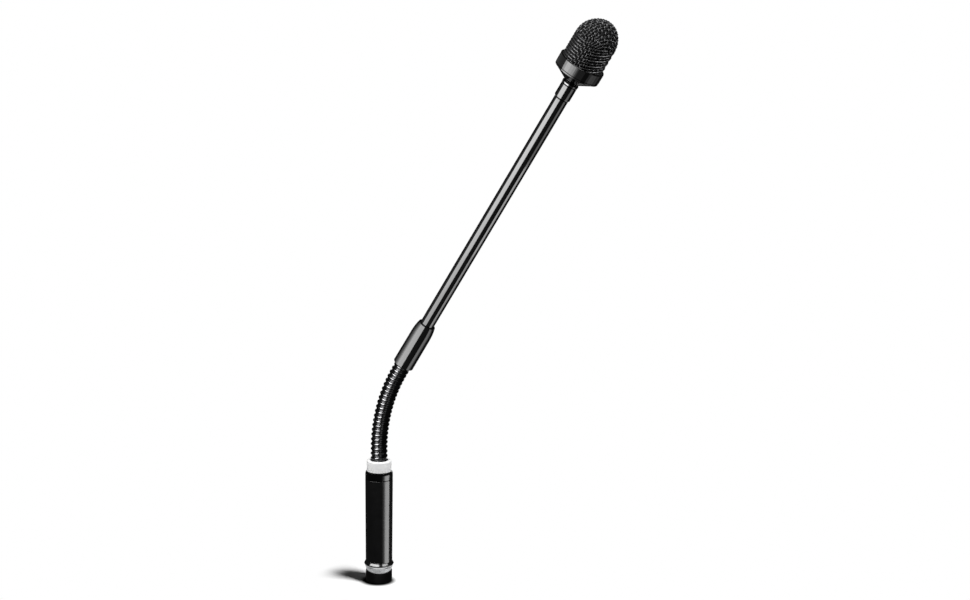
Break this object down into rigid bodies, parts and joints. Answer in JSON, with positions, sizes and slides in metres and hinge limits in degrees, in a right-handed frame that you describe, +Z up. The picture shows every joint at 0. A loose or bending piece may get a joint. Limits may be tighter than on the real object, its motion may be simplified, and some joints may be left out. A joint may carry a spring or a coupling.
{
  "type": "gooseneck microphone",
  "caption": "Desktop gooseneck microphone on a plug-in XLR housing, with a light ring, a flexible metal neck, a rigid boom tube and a woven wire dome over the capsule.",
  "frame": {"origin": "centre of the plug shell's lower rim, where the plug goes into its socket", "axes": "+Z up along the plug and housing; the neck and boom lean towards +X in the XZ plane"},
  "size_m": [0.1788, 0.0316, 0.3982],
  "materials": {
    "plug_black": "matt black",
    "plug_insulator": "matt",
    "pin_metal": "plated, polished",
    "thread_ring_metal": "turned, bright",
    "housing_paint": "satin black",
    "light_diffuser": "translucent white, satin",
    "circuit_board": "solder mask",
    "led_lamp": "clear epoxy",
    "chip_black": "matt",
    "capacitor_foil": "shrink film",
    "brass_fittings": "turned",
    "lead_sheath": "matt",
    "neck_steel": "black, semi-gloss",
    "gloss_black": "gloss black",
    "grille_wire": "black woven wire",
    "foam_black": "open-cell foam",
    "capsule_rubber": "matt",
    "capsule_metal": "plated",
    "capsule_film": "metallised film"
  },
  "bodies": {
    "base": {"xlr_shell": "plug_black", "xlr_insert": "plug_insulator", "xlr_pin_1": "pin_metal", "xlr_pin_2": "pin_metal", "xlr_pin_3": "pin_metal", "thread_ring": "thread_ring_metal", "base_housing": "housing_paint", "housing_top_cap": "housing_paint", "light_ring": "light_diffuser", "led_board": "circuit_board", "led_1": "led_lamp", "led_2": "led_lamp", "neck_root_bush": "brass_fittings", "neck_lock_nut": "brass_fittings", "preamp_board": "circuit_board", "amplifier_chip": "chip_black", "led_driver_chip": "chip_black", "coupling_capacitor_1": "capacitor_foil", "coupling_capacitor_2": "capacitor_foil", "lead_base": "lead_sheath", "neck_root": "neck_steel"},
    "link_01": {"neck_link_01": "neck_steel", "lead_link_01": "lead_sheath"},
    "link_02": {"neck_link_02": "neck_steel", "lead_link_02": "lead_sheath"},
    "link_03": {"neck_link_03": "neck_steel", "lead_link_03": "lead_sheath"},
    "link_04": {"neck_link_04": "neck_steel", "lead_link_04": "lead_sheath"},
    "link_05": {"neck_link_05": "neck_steel", "lead_link_05": "lead_sheath"},
    "link_06": {"neck_link_06": "neck_steel", "lead_link_06": "lead_sheath"},
    "link_07": {"neck_link_07": "neck_steel", "lead_link_07": "lead_sheath"},
    "link_08": {"neck_link_08": "neck_steel", "lead_link_08": "lead_sheath"},
    "link_09": {"neck_link_09": "neck_steel", "lead_link_09": "lead_sheath"},
    "link_10": {"neck_link_10": "neck_steel", "lead_link_10": "lead_sheath"},
    "boom": {"neck_tip": "neck_steel", "neck_top_ferrule": "brass_fittings", "coupling_sleeve": "gloss_black", "boom_tube": "gloss_black", "lead_boom": "lead_sheath", "head_stem": "gloss_black", "stem_shoulder_ring": "gloss_black", "head_cone": "housing_paint", "head_collar": "gloss_black", "grille_mesh": "grille_wire", "grille_clamp_ring": "brass_fittings", "foam_liner": "foam_black", "capsule_mount": "capsule_rubber", "capsule_board": "circuit_board", "capsule_can": "capsule_metal", "capsule_backplate": "brass_fittings", "diaphragm_ring": "capsule_metal", "capsule_diaphragm": "capsule_film"}
  },
  "joints": [
    {"name": "neck_bend", "type": "hinge", "parent": "base", "child": "link_01", "pos_m": [0, 0, 0.0917], "axis": [0.0002, 1, 0.0001], "range_deg": [-15, 6]},
    {"name": "neck_side", "type": "hinge", "parent": "link_01", "child": "link_02", "pos_m": [0.00003, 0, 0.0981], "axis": [0.9997, 0, -0.0236], "range_deg": [-12, 12]},
    {"name": "neck_bend_2", "type": "hinge", "parent": "link_02", "child": "link_03", "pos_m": [0.00037, 0, 0.10449], "axis": [0.0002, 1, 0.0001], "range_deg": [-15, 6]},
    {"name": "neck_side_2", "type": "hinge", "parent": "link_03", "child": "link_04", "pos_m": [0.00108, 0, 0.11085], "axis": [0.9902, 0, -0.1395], "range_deg": [-12, 12]},
    {"name": "neck_bend_3", "type": "hinge", "parent": "link_04", "child": "link_05", "pos_m": [0.00215, 0, 0.11716], "axis": [0.0002, 1, 0.0001], "range_deg": [-15, 6]},
    {"name": "neck_side_3", "type": "hinge", "parent": "link_05", "child": "link_06", "pos_m": [0.00359, 0, 0.12339], "axis": [0.9673, 0, -0.2535], "range_deg": [-12, 12]},
    {"name": "neck_bend_4", "type": "hinge", "parent": "link_06", "child": "link_07", "pos_m": [0.0054, 0, 0.12953], "axis": [0.0002, 1, 0.0001], "range_deg": [-15, 6]},
    {"name": "neck_side_4", "type": "hinge", "parent": "link_07", "child": "link_08", "pos_m": [0.00755, 0, 0.13556], "axis": [0.9314, 0, -0.3641], "range_deg": [-12, 12]},
    {"name": "neck_bend_5", "type": "hinge", "parent": "link_08", "child": "link_09", "pos_m": [0.01005, 0, 0.14145], "axis": [0.0002, 1, 0.0001], "range_deg": [-15, 6]},
    {"name": "neck_side_5", "type": "hinge", "parent": "link_09", "child": "link_10", "pos_m": [0.01289, 0, 0.14718], "axis": [0.8828, 0, -0.4697], "range_deg": [-12, 12]},
    {"name": "neck_bend_6", "type": "hinge", "parent": "link_10", "child": "boom", "pos_m": [0.01606, 0, 0.15274], "axis": [0.0002, 1, 0.0001], "range_deg": [-15, 6]}
  ],
  "couplings": [
    {"joint": "neck_bend_2", "follows": "neck_bend", "ratio": 1},
    {"joint": "neck_side_2", "follows": "neck_side", "ratio": 1},
    {"joint": "neck_bend_3", "follows": "neck_bend", "ratio": 1},
    {"joint": "neck_side_3", "follows": "neck_side", "ratio": 1},
    {"joint": "neck_bend_4", "follows": "neck_bend", "ratio": 1},
    {"joint": "neck_side_4", "follows": "neck_side", "ratio": 1},
    {"joint": "neck_bend_5", "follows": "neck_bend", "ratio": 1},
    {"joint": "neck_side_5", "follows": "neck_side", "ratio": 1},
    {"joint": "neck_bend_6", "follows": "neck_bend", "ratio": 1}
  ]
}
